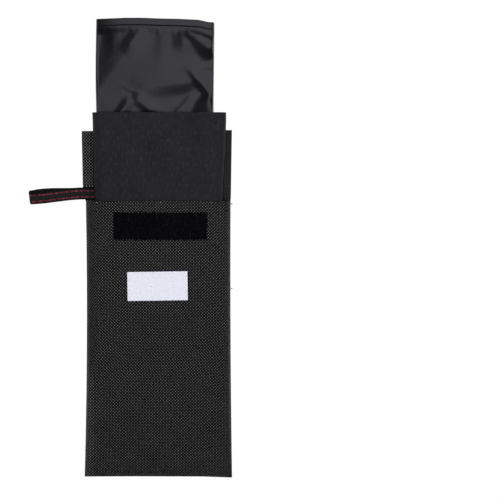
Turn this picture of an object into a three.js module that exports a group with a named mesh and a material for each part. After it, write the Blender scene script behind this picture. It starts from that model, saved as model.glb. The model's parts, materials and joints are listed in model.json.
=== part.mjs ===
// Insulin cooling case, laid on its back with the flap open and both inserts drawn part of the way out.
// Millimetres. +X runs to the right, +Y from the bottom seam to the mouth, +Z up out of the front.
// The origin is the centre of the pouch's back, on the face that rests on the table.

import * as THREE from 'three';

// Outer pouch, with the ease that it leaves the sleeve on each side
const pouchLength = 182;
const waistAboveBottom = 121;
const mouthEaseLeft = 2;
const mouthEaseRight = 0.8;
const waistEaseLeft = 1.3;
const waistEaseRight = 0.7;
const bottomEaseLeft = 2.8;
const bottomEaseRight = 1.8;
const outerCloth = 1.2;
const pouchSideSeam = 1.2;
const pouchBottomSeam = 2;
const pouchShoulder = 12;
const pouchTaper = 26;

// Hook and loop closure
const loopPatchWidth = 61.6;
const loopPatchDepth = 17.7;
const loopPatchOffset = 1.3;
const loopPatchBelowMouth = 16.6;
const loopPatchThickness = 1;
const hookStripWidth = 60;
const hookStripDepth = 16;
const hookStripThickness = 1.2;
const closureClearance = 0.3;

// Woven label
const labelWidth = 40.2;
const labelHeight = 19.6;
const labelOffset = -0.4;
const labelBelowMouth = 56.1;
const labelThickness = 0.4;

// Flap, lying flat, so that it is a little wider than the rounded pouch
const flapAboveMouth = 46.3;
const flapRootFlareLeft = 1.9;
const flapRootFlareRight = 0.2;
const flapTopFlareLeft = 2.8;
const flapTopFlareRight = 0.9;
const foldClearance = 1.5;
const foldGap = 0.3;

// Carrying strap, a loop of webbing
const strapReach = 35;
const strapWidth = 7.2;
const strapPly = 0.5;
const strapSlot = 0.3;
const strapAboveFold = 3.8;
const strapDrop = 2.8;
const strapHidden = 8.5;
const strapHingeClearance = 0.25;

// Gel sleeve
const sleeveLength = 176;
const sleeveWidth = 87.4;
const sleeveOffset = 0.5;
const sleeveRaised = 58.5;
const sleeveCloth = 0.5;
const sleeveLiner = 0.3;
const sleeveSideSeam = 0.8;
const sleeveBottomSeam = 2;
const sleeveShoulder = 11;
const sleeveTaper = 22;
const backLinerSideSeam = 2.4;
const backLinerShoulder = 3;
const slideClearance = 0.3;

// Gel channels, sewn lengthwise between the sleeve's cloth and its liner
const gelThickness = 1.1;
const gelRim = 0.35;
const gelSlack = 0.3;
const gelZoneLength = 88;
const gelRamp = 6;
const gelQuilting = 1.4;
const gelChannels = 4;

// Inner bag, with its ease in the sleeve; it lies close to the left side
const bagLength = 164;
const bagEaseLeft = 0.6;
const bagEaseRight = 6.1;
const bagRaised = 62;
const bagWall = 0.4;
const bagHollow = 5.4;
const bagSideSeam = 1;
const bagBottomSeam = 2;
const bagShoulder = 8;
const bagTaper = 20;
const bagHemDepth = 5;
const bagHem = 0.4;

// Shape of the sewn shells
const roundness = 2.6;
const taperRoundness = 1.7;
const arcSteps = 6;
const taperSteps = 6;
const lengthSteps = 6;

// Heights of the layers, from the table upwards
const sleeveBase = outerCloth + hookStripThickness + slideClearance;
const linerBase = sleeveBase + sleeveCloth;
const gelRoom = gelThickness + gelSlack;
const bagBase = linerBase + gelRoom + sleeveLiner + slideClearance + bagHem;
const bagFrontBase = bagBase + bagWall;
const bagCrown = bagFrontBase + bagHollow + bagWall;
const frontLinerBase = linerBase + sleeveLiner;
const frontClothBase = frontLinerBase + sleeveLiner;
const frontLinerCrown = bagCrown + bagHem + slideClearance;
const frontClothCrown = frontLinerCrown + sleeveLiner + gelRoom;
const pouchCrown = frontClothCrown + sleeveCloth + slideClearance;
const frontFace = pouchCrown + outerCloth;

// Sides of the pouch and of the bag, worked out from the sleeve between them
const pouchWall = pouchSideSeam + outerCloth;
const sleeveLeft = sleeveOffset - sleeveWidth / 2;
const sleeveRight = sleeveOffset + sleeveWidth / 2;
const sleeveWall = sleeveSideSeam + sleeveCloth + slideClearance + sleeveLiner;
const mouthLeft = sleeveLeft - pouchWall - mouthEaseLeft;
const mouthRight = sleeveRight + pouchWall + mouthEaseRight;
const bagLeft = sleeveLeft + sleeveWall + bagEaseLeft;
const bagRight = sleeveRight - sleeveWall - bagEaseRight;

// Places along the case
const mouth = pouchLength / 2;
const bottom = -mouth;
const fold = mouth + foldClearance;
const spineLength = frontFace + loopPatchThickness + closureClearance + hookStripThickness - outerCloth;
const lidFold = fold + spineLength;
const flapTop = mouth + flapAboveMouth;
const sleeveTop = mouth + sleeveRaised;
const sleeveBottom = sleeveTop - sleeveLength;
const bagTop = sleeveTop + bagRaised;
const bagBottom = bagTop - bagLength;
const gelBottom = sleeveBottom + sleeveBottomSeam + sleeveTaper;
const gelTop = gelBottom + gelZoneLength;

const colours = {
  outerWeave: { color: 0x262627, roughness: 0.8, metalness: 0 },
  webbing: { color: 0x17161a, roughness: 0.75, metalness: 0 },
  loopPile: { color: 0x0a0a0c, roughness: 0.95, metalness: 0 },
  hookTape: { color: 0x121214, roughness: 0.7, metalness: 0 },
  whiteLabel: { color: 0xe4e6f2, roughness: 0.7, metalness: 0 },
  sleeveCloth: { color: 0x242326, roughness: 0.9, metalness: 0 },
  linerCloth: { color: 0x2b2b30, roughness: 0.8, metalness: 0 },
  gelGrains: { color: 0xd9dde0, roughness: 0.5, metalness: 0 },
  bagNylon: { color: 0x303034, roughness: 0.35, metalness: 0 },
};

const insulinCase = new THREE.Group();

function addPiece(name, geometry, finish) {
  geometry.computeVertexNormals();
  const mesh = new THREE.Mesh(geometry, new THREE.MeshStandardMaterial(finish));
  mesh.name = name;
  insulinCase.add(mesh);
}

// A closed sheet: one grid of points for its upper face, one for its lower face, and rims between them.
function sheet(columns, rows, upper, lower) {
  const positions = [];
  const index = [];
  for (const face of [upper, lower]) {
    for (let row = 0; row <= rows; row++) {
      for (let column = 0; column <= columns; column++) positions.push(...face(column, row));
    }
  }
  const over = (column, row) => row * (columns + 1) + column;
  const under = (column, row) => (rows + 1) * (columns + 1) + over(column, row);
  const quad = (a, b, c, d) => index.push(a, b, c, a, c, d);
  for (let row = 0; row < rows; row++) {
    for (let column = 0; column < columns; column++) {
      quad(over(column, row), over(column + 1, row), over(column + 1, row + 1), over(column, row + 1));
      quad(under(column, row + 1), under(column + 1, row + 1), under(column + 1, row), under(column, row));
    }
    quad(under(0, row + 1), under(0, row), over(0, row), over(0, row + 1));
    quad(under(columns, row), under(columns, row + 1), over(columns, row + 1), over(columns, row));
  }
  for (let column = 0; column < columns; column++) {
    quad(under(column, 0), under(column + 1, 0), over(column + 1, 0), over(column, 0));
    quad(over(column, rows), over(column + 1, rows), under(column + 1, rows), under(column, rows));
  }
  const geometry = new THREE.BufferGeometry();
  geometry.setAttribute('position', new THREE.Float32BufferAttribute(positions, 3));
  geometry.setIndex(index);
  return geometry;
}

// A flat layer between two edges that may change along the case.
function flatLayer(edges, stations, base, thickness) {
  const at = (height) => (column, row) => [edges(stations[row])[column], stations[row], height];
  return sheet(1, stations.length - 1, at(base + thickness), at(base));
}

// A sewn shell: flat seams at its sides, rounded shoulders and a flat crown, open underneath.
// The height is that of the crown's lower face above the base, and may change along the case.
function sewnShell({ edges, stations, seam, base, wall, height, shoulder }) {
  const lastColumn = 2 * arcSteps + 3;
  const face = (inset, lift) => (column, row) => {
    const y = stations[row];
    const [left, right] = edges(y);
    if (column === 0) return [left, y, base + lift];
    if (column === lastColumn) return [right, y, base + lift];
    const onLeft = column <= arcSteps + 1;
    const step = onLeft ? column - 1 : lastColumn - 1 - column;
    const angle = (step / arcSteps) * (Math.PI / 2);
    const out = (seam + shoulder - inset) * Math.max(Math.cos(angle), 0) ** (2 / roundness);
    const x = onLeft ? left + seam + shoulder - out : right - seam - shoulder + out;
    return [x, y, base + lift + height(y) * Math.sin(angle) ** (2 / roundness)];
  };
  return sheet(lastColumn, stations.length - 1, face(seam, wall), face(seam + wall, 0));
}

// Places of the cross-sections: the bottom seam, its rounded end drawn closer together, then even steps.
function endStations(from, seam, taper, to, more = []) {
  const stations = [from];
  for (let i = 0; i <= taperSteps; i++) stations.push(from + seam + taper * (i / taperSteps) ** 2);
  const straight = from + seam + taper;
  for (let i = 1; i <= lengthSteps; i++) stations.push(straight + ((to - straight) * i) / lengthSteps);
  stations.push(...more);
  return [...new Set(stations)].sort((a, b) => a - b);
}

// How far a closed end has risen, from 0 at its seam to 1 where the taper is over.
function endRise(y, seamEnd, taper) {
  const share = THREE.MathUtils.clamp((y - seamEnd) / taper, 0, 1);
  return (1 - (1 - share) ** taperRoundness) ** (1 / taperRoundness);
}

// The ease on a side of the pouch: a parabola through its values at the bottom, the waist and the mouth.
function pouchSide(y, atBottom, atWaist, atMouth) {
  const up = y - bottom;
  const fromBottom = up * (atMouth - atBottom) / pouchLength;
  const waistOffLine = atWaist - atBottom - (waistAboveBottom * (atMouth - atBottom)) / pouchLength;
  const bow = (up * (pouchLength - up)) / (waistAboveBottom * (pouchLength - waistAboveBottom));
  return atBottom + fromBottom + waistOffLine * bow;
}

const pouchEdges = (y) => [
  sleeveLeft - pouchWall - pouchSide(y, bottomEaseLeft, waistEaseLeft, mouthEaseLeft),
  sleeveRight + pouchWall + pouchSide(y, bottomEaseRight, waistEaseRight, mouthEaseRight),
];
const straightEdges = (centre, width) => () => [centre - width / 2, centre + width / 2];
const sleeveEdges = () => [sleeveLeft, sleeveRight];
const bagEdges = () => [bagLeft, bagRight];

function flapEdges(y) {
  const share = (y - fold) / (flapTop - fold);
  return [
    mouthLeft - THREE.MathUtils.lerp(flapRootFlareLeft, flapTopFlareLeft, share),
    mouthRight + THREE.MathUtils.lerp(flapRootFlareRight, flapTopFlareRight, share),
  ];
}

// Outer pouch
function addPouch() {
  const stations = endStations(bottom, pouchBottomSeam, pouchTaper, mouth);
  const backStations = [...stations, fold - foldGap / 2];
  addPiece('outer_back_panel', flatLayer(pouchEdges, backStations, 0, outerCloth), colours.outerWeave);
  addPiece('outer_front_panel', sewnShell({
    edges: pouchEdges,
    stations,
    seam: pouchSideSeam,
    base: outerCloth,
    wall: outerCloth,
    height: (y) => (pouchCrown - outerCloth) * endRise(y, bottom + pouchBottomSeam, pouchTaper),
    shoulder: pouchShoulder,
  }), colours.outerWeave);

  const patchMiddle = mouth - loopPatchBelowMouth;
  addPiece('loop_patch', flatLayer(
    straightEdges(loopPatchOffset, loopPatchWidth),
    [patchMiddle - loopPatchDepth / 2, patchMiddle + loopPatchDepth / 2],
    frontFace,
    loopPatchThickness,
  ), colours.loopPile);

  const labelMiddle = mouth - labelBelowMouth;
  addPiece('label', flatLayer(
    straightEdges(labelOffset, labelWidth),
    [labelMiddle - labelHeight / 2, labelMiddle + labelHeight / 2],
    frontFace,
    labelThickness,
  ), colours.whiteLabel);
}

// Flap: the cloth of the back, past the mouth, creased into a spine and a lid
function addFlap() {
  const spineStations = [fold + foldGap / 2, lidFold - foldGap / 2];
  const lidStations = [lidFold + foldGap / 2, flapTop];
  addPiece('flap_spine_panel', flatLayer(flapEdges, spineStations, 0, outerCloth), colours.outerWeave);
  addPiece('flap_lid_panel', flatLayer(flapEdges, lidStations, 0, outerCloth), colours.outerWeave);

  // Closed, the hook strip faces the middle of the loop patch.
  const hookMiddle = lidFold + foldClearance + loopPatchBelowMouth;
  addPiece('hook_strip', flatLayer(
    straightEdges(loopPatchOffset, hookStripWidth),
    [hookMiddle - hookStripDepth / 2, hookMiddle + hookStripDepth / 2],
    outerCloth,
    hookStripThickness,
  ), colours.hookTape);
}

// Strap: its two plies are sewn down on the flap's spine, and the loop hangs past the flap's edge
function addStrap() {
  const hinge = mouthLeft - flapTopFlareLeft;
  const strapMiddle = fold + strapAboveFold;
  const slope = strapDrop / strapReach;
  const middleAt = (x) => strapMiddle + slope * (x - hinge);
  const across = [-strapWidth / 2, strapWidth / 2];

  const anchorEnds = [hinge, hinge + strapHidden];
  const anchorAt = (height) => (column, row) => {
    const x = anchorEnds[column];
    return [x, middleAt(x) + across[row], height];
  };
  const anchorTop = outerCloth + 2 * strapPly;
  addPiece('strap_anchor', sheet(1, 1, anchorAt(anchorTop), anchorAt(outerCloth)), colours.webbing);

  const foldRadius = (strapPly + strapSlot) / 2;
  const halfThickness = foldRadius + strapPly / 2;
  const rootX = hinge - halfThickness - strapHingeClearance;
  const turnX = hinge - strapReach + halfThickness;
  const rootZ = outerCloth + strapPly;
  const turnZ = halfThickness;
  const path = [];
  for (let i = 0; i <= lengthSteps; i++) {
    const share = i / lengthSteps;
    path.push({
      x: THREE.MathUtils.lerp(rootX, turnX, share),
      z: THREE.MathUtils.lerp(rootZ, turnZ, share),
      angle: -Math.PI / 2,
    });
  }
  for (let i = 1; i < arcSteps; i++) {
    path.push({ x: turnX, z: turnZ, angle: -Math.PI / 2 - (Math.PI * i) / arcSteps });
  }
  const back = path.slice(0, lengthSteps + 1).reverse();
  path.push(...back.map((point) => ({ ...point, angle: Math.PI / 2 })));

  // The webbing's outer face lies half a thickness from the loop's middle plane, its inner face less.
  const loopAt = (distance) => (column, row) => {
    const { x, z, angle } = path[column];
    return [
      x + distance * Math.cos(angle),
      middleAt(x) + across[row],
      z + distance * Math.sin(angle),
    ];
  };
  const inner = halfThickness - strapPly;
  addPiece('strap_loop', sheet(path.length - 1, 1, loopAt(halfThickness), loopAt(inner)), colours.webbing);
}

// Gel sleeve: two cloths and two liners sewn together at the sides and the bottom
function addSleeve() {
  const seamEnd = sleeveBottom + sleeveBottomSeam;
  const ramps = [gelBottom - gelRamp, gelBottom, gelTop, gelTop + gelRamp];
  const stations = endStations(sleeveBottom, sleeveBottomSeam, sleeveTaper, sleeveTop);
  const linerStations = endStations(sleeveBottom, sleeveBottomSeam, sleeveTaper, sleeveTop, ramps);
  const rise = (y) => endRise(y, seamEnd, sleeveTaper);
  const gelShare = (y) => THREE.MathUtils.clamp(
    Math.min(y - gelBottom + gelRamp, gelTop + gelRamp - y) / gelRamp, 0, 1,
  );

  const clothStations = [sleeveBottom, sleeveTop];
  addPiece('sleeve_back_cloth', flatLayer(sleeveEdges, clothStations, sleeveBase, sleeveCloth),
    colours.sleeveCloth);
  addPiece('sleeve_back_liner', sewnShell({
    edges: sleeveEdges,
    stations: [sleeveBottom, ...ramps, sleeveTop],
    seam: backLinerSideSeam,
    base: linerBase,
    wall: sleeveLiner,
    height: (y) => gelRoom * gelShare(y),
    shoulder: backLinerShoulder,
  }), colours.linerCloth);

  // Over the gel the front liner makes room for it; above the gel it lies close under the cloth.
  const collarHeight = frontClothCrown - slideClearance - sleeveLiner - frontLinerBase;
  const overGelHeight = frontLinerCrown - frontLinerBase;
  addPiece('sleeve_front_liner', sewnShell({
    edges: sleeveEdges,
    stations: linerStations,
    seam: sleeveSideSeam + sleeveCloth + slideClearance,
    base: frontLinerBase,
    wall: sleeveLiner,
    height: (y) => (y < gelTop ? overGelHeight * rise(y)
      : THREE.MathUtils.lerp(collarHeight, overGelHeight, gelShare(y))),
    shoulder: sleeveShoulder,
  }), colours.linerCloth);
  addPiece('sleeve_front_cloth', sewnShell({
    edges: sleeveEdges,
    stations,
    seam: sleeveSideSeam,
    base: frontClothBase,
    wall: sleeveCloth,
    height: (y) => (frontClothCrown - frontClothBase) * rise(y),
    shoulder: sleeveShoulder,
  }), colours.sleeveCloth);

  const crownWidth = sleeveWidth
    - 2 * (sleeveSideSeam + sleeveCloth + slideClearance + sleeveShoulder);
  const pitch = (crownWidth + gelQuilting) / gelChannels;
  for (let i = 0; i < gelChannels; i++) {
    const middle = sleeveOffset - crownWidth / 2 - gelQuilting / 2 + pitch * (i + 1 / 2);
    addGelChannel(`gel_channel_back_${i + 1}`, middle, pitch - gelQuilting, linerBase);
    addGelChannel(`gel_channel_front_${i + 1}`, middle, pitch - gelQuilting,
      frontLinerCrown + sleeveLiner);
  }
}

// One channel of gel grains, thin at its quilted edges and full in the middle.
function addGelChannel(name, middle, width, base) {
  const columns = arcSteps;
  const at = (swells) => (column, row) => {
    const across = (2 * column) / columns - 1;
    const full = gelRim + (gelThickness - gelRim) * (1 - across ** 4);
    return [middle + (across * width) / 2, row ? gelTop : gelBottom, base + (swells ? full : 0)];
  };
  addPiece(name, sheet(columns, 1, at(true), at(false)), colours.gelGrains);
}

// Inner bag: two plain walls, hemmed at the mouth
function addBag() {
  const seamEnd = bagBottom + bagBottomSeam;
  const height = (y) => bagHollow * endRise(y, seamEnd, bagTaper);
  const hemStations = [bagTop - bagHemDepth, bagTop];
  addPiece('bag_back', flatLayer(bagEdges, [bagBottom, bagTop], bagBase, bagWall), colours.bagNylon);
  addPiece('bag_front', sewnShell({
    edges: bagEdges,
    stations: endStations(bagBottom, bagBottomSeam, bagTaper, bagTop),
    seam: bagSideSeam,
    base: bagFrontBase,
    wall: bagWall,
    height,
    shoulder: bagShoulder,
  }), colours.bagNylon);
  addPiece('bag_back_hem', flatLayer(bagEdges, hemStations, bagBase - bagHem, bagHem), colours.bagNylon);
  addPiece('bag_front_hem', sewnShell({
    edges: bagEdges,
    stations: hemStations,
    seam: bagSideSeam - bagHem,
    base: bagFrontBase + bagWall,
    wall: bagHem,
    height,
    shoulder: bagShoulder + bagHem,
  }), colours.bagNylon);
}

addPouch();
addFlap();
addStrap();
addSleeve();
addBag();

export default insulinCase;
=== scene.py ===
# %% [markdown]
# # Insulin cooling case
# A flat travel case made of cloth. An outer pouch of coarse black nylon holds a sleeve with cooling
# grains in its walls, and the sleeve holds a thin shiny bag for the pens. Both are drawn part of the
# way out here, and the flap lies open behind them.
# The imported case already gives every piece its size, its place and its body. This script dresses it:
# each cloth is a grid of points moved to its sewn shape, then given a thickness and a woven finish.
# Lengths are metres. +X is right, +Y runs from the bottom seam to the mouth, +Z is up out of the front.

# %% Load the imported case
import json
import math
import random

import bmesh
import bpy
import numpy as np
from mathutils import Matrix, Vector
from mathutils.bvhtree import BVHTree


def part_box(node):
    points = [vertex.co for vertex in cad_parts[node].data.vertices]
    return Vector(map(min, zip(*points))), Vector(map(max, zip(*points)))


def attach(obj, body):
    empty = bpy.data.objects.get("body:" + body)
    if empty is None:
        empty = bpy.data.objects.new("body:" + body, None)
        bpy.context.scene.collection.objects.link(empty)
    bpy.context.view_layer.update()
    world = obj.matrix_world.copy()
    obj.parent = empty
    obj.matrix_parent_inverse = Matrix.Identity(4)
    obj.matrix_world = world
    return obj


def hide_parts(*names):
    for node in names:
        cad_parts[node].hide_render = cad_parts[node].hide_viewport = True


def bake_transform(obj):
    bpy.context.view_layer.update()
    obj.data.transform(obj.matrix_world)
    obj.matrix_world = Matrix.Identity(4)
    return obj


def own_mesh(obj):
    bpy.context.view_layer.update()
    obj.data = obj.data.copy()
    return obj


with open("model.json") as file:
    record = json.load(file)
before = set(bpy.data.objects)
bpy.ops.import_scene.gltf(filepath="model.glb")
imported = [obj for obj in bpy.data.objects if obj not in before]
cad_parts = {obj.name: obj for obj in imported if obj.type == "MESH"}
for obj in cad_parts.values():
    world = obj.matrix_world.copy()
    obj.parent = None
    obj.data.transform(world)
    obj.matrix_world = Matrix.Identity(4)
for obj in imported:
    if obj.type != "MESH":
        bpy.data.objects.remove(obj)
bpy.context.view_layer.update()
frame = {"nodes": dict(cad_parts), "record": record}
mm = 0.001

# %% [markdown]
# ## Reading sizes from the solids
# Cloth is cut to fit, so every edge below is read from the solid that it dresses, and nothing is
# measured twice. Each solid is a stack of cross-sections along Y: the left, the right and the top of
# every section are enough to draw the cloth again more finely.

# %% Sections of a solid
def sections_of(node):
    """The places of a solid's cross-sections along the case, and the left, right and top of each."""
    points = np.array([vertex.co for vertex in frame["nodes"][node].data.vertices])
    places = points[:, 1].round(6)
    along = np.unique(places)
    rows = [points[places == place] for place in along]
    picks = ((np.min, 0), (np.max, 0), (np.max, 2))
    return along, *(np.array([pick(row[:, axis]) for row in rows]) for pick, axis in picks)


def edges_of(node):
    """The left and right side of a solid, as a function of the place along the case."""
    along, left, right, _ = sections_of(node)
    return lambda y: (np.interp(y, along, left), np.interp(y, along, right))


def tops_of(node):
    """The height of a solid's crown, as a function of the place along the case."""
    along, _, _, top = sections_of(node)
    return lambda y: np.interp(y, along, top)


front_low, front_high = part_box("outer_front_panel")
back_low, back_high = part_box("outer_back_panel")
lid_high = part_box("flap_lid_panel")[1]
spine_low, spine_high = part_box("flap_spine_panel")
sleeve_low, sleeve_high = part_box("sleeve_front_cloth")
bag_low, bag_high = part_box("bag_front")
mouth, bottom = front_high.y, front_low.y
print(f"pouch {front_high.x - front_low.x:.4f} wide, mouth at {mouth:.4f}")

# %% [markdown]
# ## Shader maths as Python
# A woven pattern is a formula, and a formula is easier to read as `1 - warp * 0.5` than as a chain of
# nodes. So a small class wraps a socket and turns Python's signs into Math nodes. A second class is a
# whole finish: a Principled shader, with one method that adds any node.

# %% Value and Finish
class Value:
    """A number or colour that changes over a surface: an output socket that can be calculated with."""

    def __init__(self, finish, socket):
        self.finish = finish
        self.socket = socket

    def math(self, operation, *values):
        return self.finish.node("ShaderNodeMath", {"operation": operation}, values)

    def __add__(self, other):
        return self.math("ADD", self, other)

    def __radd__(self, other):
        return self.math("ADD", other, self)

    def __sub__(self, other):
        return self.math("SUBTRACT", self, other)

    def __rsub__(self, other):
        return self.math("SUBTRACT", other, self)

    def __mul__(self, other):
        return self.math("MULTIPLY", self, other)

    def __rmul__(self, other):
        return self.math("MULTIPLY", other, self)

    def __pow__(self, other):
        return self.math("POWER", self, other)

    def __abs__(self):
        return self.math("ABSOLUTE", self)

    def sine(self):
        return self.math("SINE", self)

    def sign(self):
        return self.math("SIGN", self)

    def larger(self, other):
        return self.math("MAXIMUM", self, other)

    def ramp(self, low, high):
        """A smooth step: 0 below low, 1 above high. With low above high it steps down."""
        settings = {"interpolation_type": "SMOOTHSTEP"}
        if low < high:
            return self.finish.node("ShaderNodeMapRange", settings, {0: self, 1: low, 2: high})
        return 1 - self.finish.node("ShaderNodeMapRange", settings, {0: self, 1: high, 2: low})


class Finish:
    """A material with a Principled shader, and one method that adds any node."""

    def __init__(self, name, slot, roughness, specular, constants=()):
        self.slot = slot
        self.material = bpy.data.materials.new(name)
        self.material.use_nodes = True
        self.tree = self.material.node_tree
        self.shader = self.tree.nodes["Principled BSDF"]
        self.set({"Roughness": roughness, "Specular IOR Level": specular, **dict(constants)})

    def feed(self, socket, value):
        if isinstance(value, Value):
            self.tree.links.new(value.socket, socket)
        else:
            socket.default_value = value

    def node(self, kind, settings=(), inputs=(), output=0):
        """Adds a node, makes its settings, feeds its inputs and gives one of its outputs."""
        made = self.tree.nodes.new(kind)
        for name, value in dict(settings).items():
            setattr(made, name, value)
        pairs = inputs.items() if isinstance(inputs, dict) else enumerate(inputs)
        for where, value in pairs:
            self.feed(made.inputs[where], value)
        return Value(self, made.outputs[output])

    def set(self, sockets):
        for name, value in sockets.items():
            self.feed(self.shader.inputs[name], value)

    def axes(self, vector):
        """The parts of a vector."""
        split = self.node("ShaderNodeSeparateXYZ", inputs=[vector]).socket.node
        return [Value(self, socket) for socket in split.outputs]

    def cloth_place(self):
        """Where a point lies on the cut cloth, in metres across and along, from the UV map."""
        return self.node("ShaderNodeUVMap", {"uv_map": "cloth"})

    def object_place(self):
        return self.node("ShaderNodeTexCoord", output="Object")

    def noise(self, place, size, stretch=(1, 1, 1), detail=2):
        """Uneven grain from 0 to 1, with patches of about that size in metres."""
        scaled = self.node("ShaderNodeVectorMath", {"operation": "MULTIPLY"}, [place, stretch])
        inputs = {"Vector": scaled, "Scale": 1 / size, "Detail": detail}
        return self.node("ShaderNodeTexNoise", inputs=inputs)

    def mix(self, share, first, second):
        """A colour between two others."""
        inputs = {0: share, 6: first, 7: second}
        return self.node("ShaderNodeMix", {"data_type": "RGBA"}, inputs, output=2)

    def raised(self, height, depth):
        """Shades the surface as if it stood up by that height times the depth in metres."""
        bump = self.node("ShaderNodeBump", inputs={"Height": height, "Distance": depth})
        self.set({"Normal": bump})


def grey(value, tint=(1, 1, 1)):
    """A colour of that linear value, a little tinted."""
    return (*(value * part for part in tint), 1)


print("finishes are ready to be mixed")

# %% [markdown]
# ## The weaves
# The bright dots are painted highlights: the glints on the yarn tops are written into the colour.
# A plain weave is two sets of yarns that cross over and under in turn. With one sine across the yarns
# and one along them, their product changes sign from crossing to crossing as a chessboard does, which
# says which yarn is on top. The coarse nylon shows bright dots where the lengthwise yarn is on top.
# A texture image would need drawing and would blur close up. The formula stays sharp and has a scale.

# %% Plain weave
yarn_roundness = 0.5


def plain_weave(finish, pitch):
    """How high the lengthwise and the crosswise yarns stand, from 0 to 1, on cloth of that yarn pitch."""
    across, along, _ = finish.axes(finish.cloth_place())
    a = (across * (math.pi / pitch)).sine()
    b = (along * (math.pi / pitch)).sine()
    lengthwise = abs(a) ** yarn_roundness * (0.5 + a.sign() * b * 0.5)
    crosswise = abs(b) ** yarn_roundness * (0.5 - b.sign() * a * 0.5)
    return lengthwise, crosswise


outer_pitch, outer_relief = 1.0 * mm, 0.3 * mm
patch_size = 14 * mm
upper_start, upper_end = 5 * mm, 45 * mm
# Where the left edge is painted: shade over the middle of its length, light towards both ends.
painted_left_start, painted_left_end = -41 * mm, -46 * mm
painted_shade_middle = 35 * mm
shade_to_light_start, shade_to_light_end = 45 * mm, 65 * mm
painted_light_at_ends, painted_shade_in_middle, painted_light_in_gaps = 1.2, 0.3, 0.01
worn_least, paler_above, worn_patches = 0.6, 0.13, 0.6
dot_power, weft_power, weft_share = 10, 5, 0.05
outer_dark, outer_highlight = grey(0.0035), grey(0.29, (1, 1, 1.02))


def outer_weave():
    """Coarse black nylon: painted grey highlights on the lengthwise yarns, much less on the others, dark
    gaps.

    Along the left edge, painted light makes it paler by the strap and at the lower left corner, and painted
    shade makes it darker in a band below the mouth. It is also a little paler towards the mouth, and in
    patches."""
    finish = Finish("outer_weave", "outer_weave", 0.6, 0.05)
    lengthwise, crosswise = plain_weave(finish, outer_pitch)
    place = finish.object_place()
    x, y, _ = finish.axes(place)
    # Along the left edge: painted shade in a band below the mouth, painted light by the strap and at the
    # lower left corner.
    near_ends = abs(y - painted_shade_middle).ramp(shade_to_light_start, shade_to_light_end)
    painted_left_light_and_shade = x.ramp(painted_left_start, painted_left_end) * (near_ends * painted_light_at_ends - painted_shade_in_middle)
    patches = finish.noise(place, patch_size) * worn_patches
    wear_and_painted_light = worn_least + y.ramp(upper_start, upper_end) * paler_above + patches + painted_left_light_and_shade
    # Painted highlights on the yarn tops, and a little painted light in the gaps along the left edge.
    lit = lengthwise ** dot_power * wear_and_painted_light + crosswise ** weft_power * weft_share + painted_left_light_and_shade * painted_light_in_gaps
    finish.set({"Base Color": finish.mix(lit, outer_dark, outer_highlight)})
    finish.raised(lengthwise.larger(crosswise), outer_relief)
    return finish


outer_finish = outer_weave()
print("outer weave, yarns", outer_pitch, "apart")

# %% [markdown]
# ## The other finishes
# The sleeve is fine matte cloth with stray flecks, its lining much the same but paler, and the bag is
# thin coated nylon that shines. The webbing carries two dark red stripes. Threads, pile and hooks are
# real geometry further down, so their finishes only need a colour with some life in it.

# %% Sleeve, lining and bag cloth
fine_pitch, liner_pitch, fine_relief = 0.34 * mm, 0.4 * mm, 0.05 * mm
sleeve_dark, sleeve_light = grey(0.0045, (1, 0.95, 1.1)), grey(0.0205, (1, 0.94, 1.2))
cloud_size, cloud_stretch, cloud_share = 16 * mm, (1, 0.6, 1), 0.6
fleck_size, fleck_stretch, fleck_share = 1.4 * mm, (1, 0.4, 1), 0.5
fleck_start, fleck_end = 0.5, 0.72
liner_dark, liner_light = grey(0.014), grey(0.03, (1, 1, 1.15))
bag_dark, bag_light, bag_sheen = grey(0.004), grey(0.007, (1, 0.98, 1.15)), (0.93, 0.9, 1, 1)
handling_size, bag_roughness, handled_roughness = 5 * mm, 0.22, 0.08
crinkle_size, crinkle_relief = 3 * mm, 0.04 * mm


def sleeve_cloth():
    """Fine matte cloth, a little lighter in broad clouds and in small flecks."""
    finish = Finish("sleeve_cloth", "sleeve_cloth", 0.8, 0.2)
    place = finish.cloth_place()
    flecks = finish.noise(place, fleck_size, fleck_stretch).ramp(fleck_start, fleck_end)
    clouds = finish.noise(place, cloud_size, cloud_stretch, detail=3)
    pale = clouds * cloud_share + flecks * fleck_share
    finish.set({"Base Color": finish.mix(pale, sleeve_dark, sleeve_light)})
    lengthwise, crosswise = plain_weave(finish, fine_pitch)
    finish.raised(lengthwise.larger(crosswise), fine_relief)
    return finish


def liner_cloth():
    """Fine plain cloth that is paler on top of each yarn."""
    finish = Finish("liner_cloth", "liner_cloth", 0.75, 0.2)
    lengthwise, crosswise = plain_weave(finish, liner_pitch)
    height = lengthwise.larger(crosswise)
    finish.set({"Base Color": finish.mix(height, liner_dark, liner_light)})
    finish.raised(height, fine_relief)
    return finish


def bag_nylon():
    """Nearly black and smooth, so that its shine shows every fold. Handling has dulled it unevenly."""
    finish = Finish("bag_nylon", "bag_nylon", 0.3, 0.24, {"Specular Tint": bag_sheen})
    place = finish.cloth_place()
    handling = finish.noise(place, handling_size, detail=3)
    finish.set({
        "Base Color": finish.mix(handling, bag_dark, bag_light),
        "Roughness": bag_roughness + handling * handled_roughness,
    })
    finish.raised(finish.noise(place, crinkle_size), crinkle_relief)
    return finish


sleeve_finish, liner_finish, bag_finish = sleeve_cloth(), liner_cloth(), bag_nylon()
print("sleeve, lining and bag cloths mixed")

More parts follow.
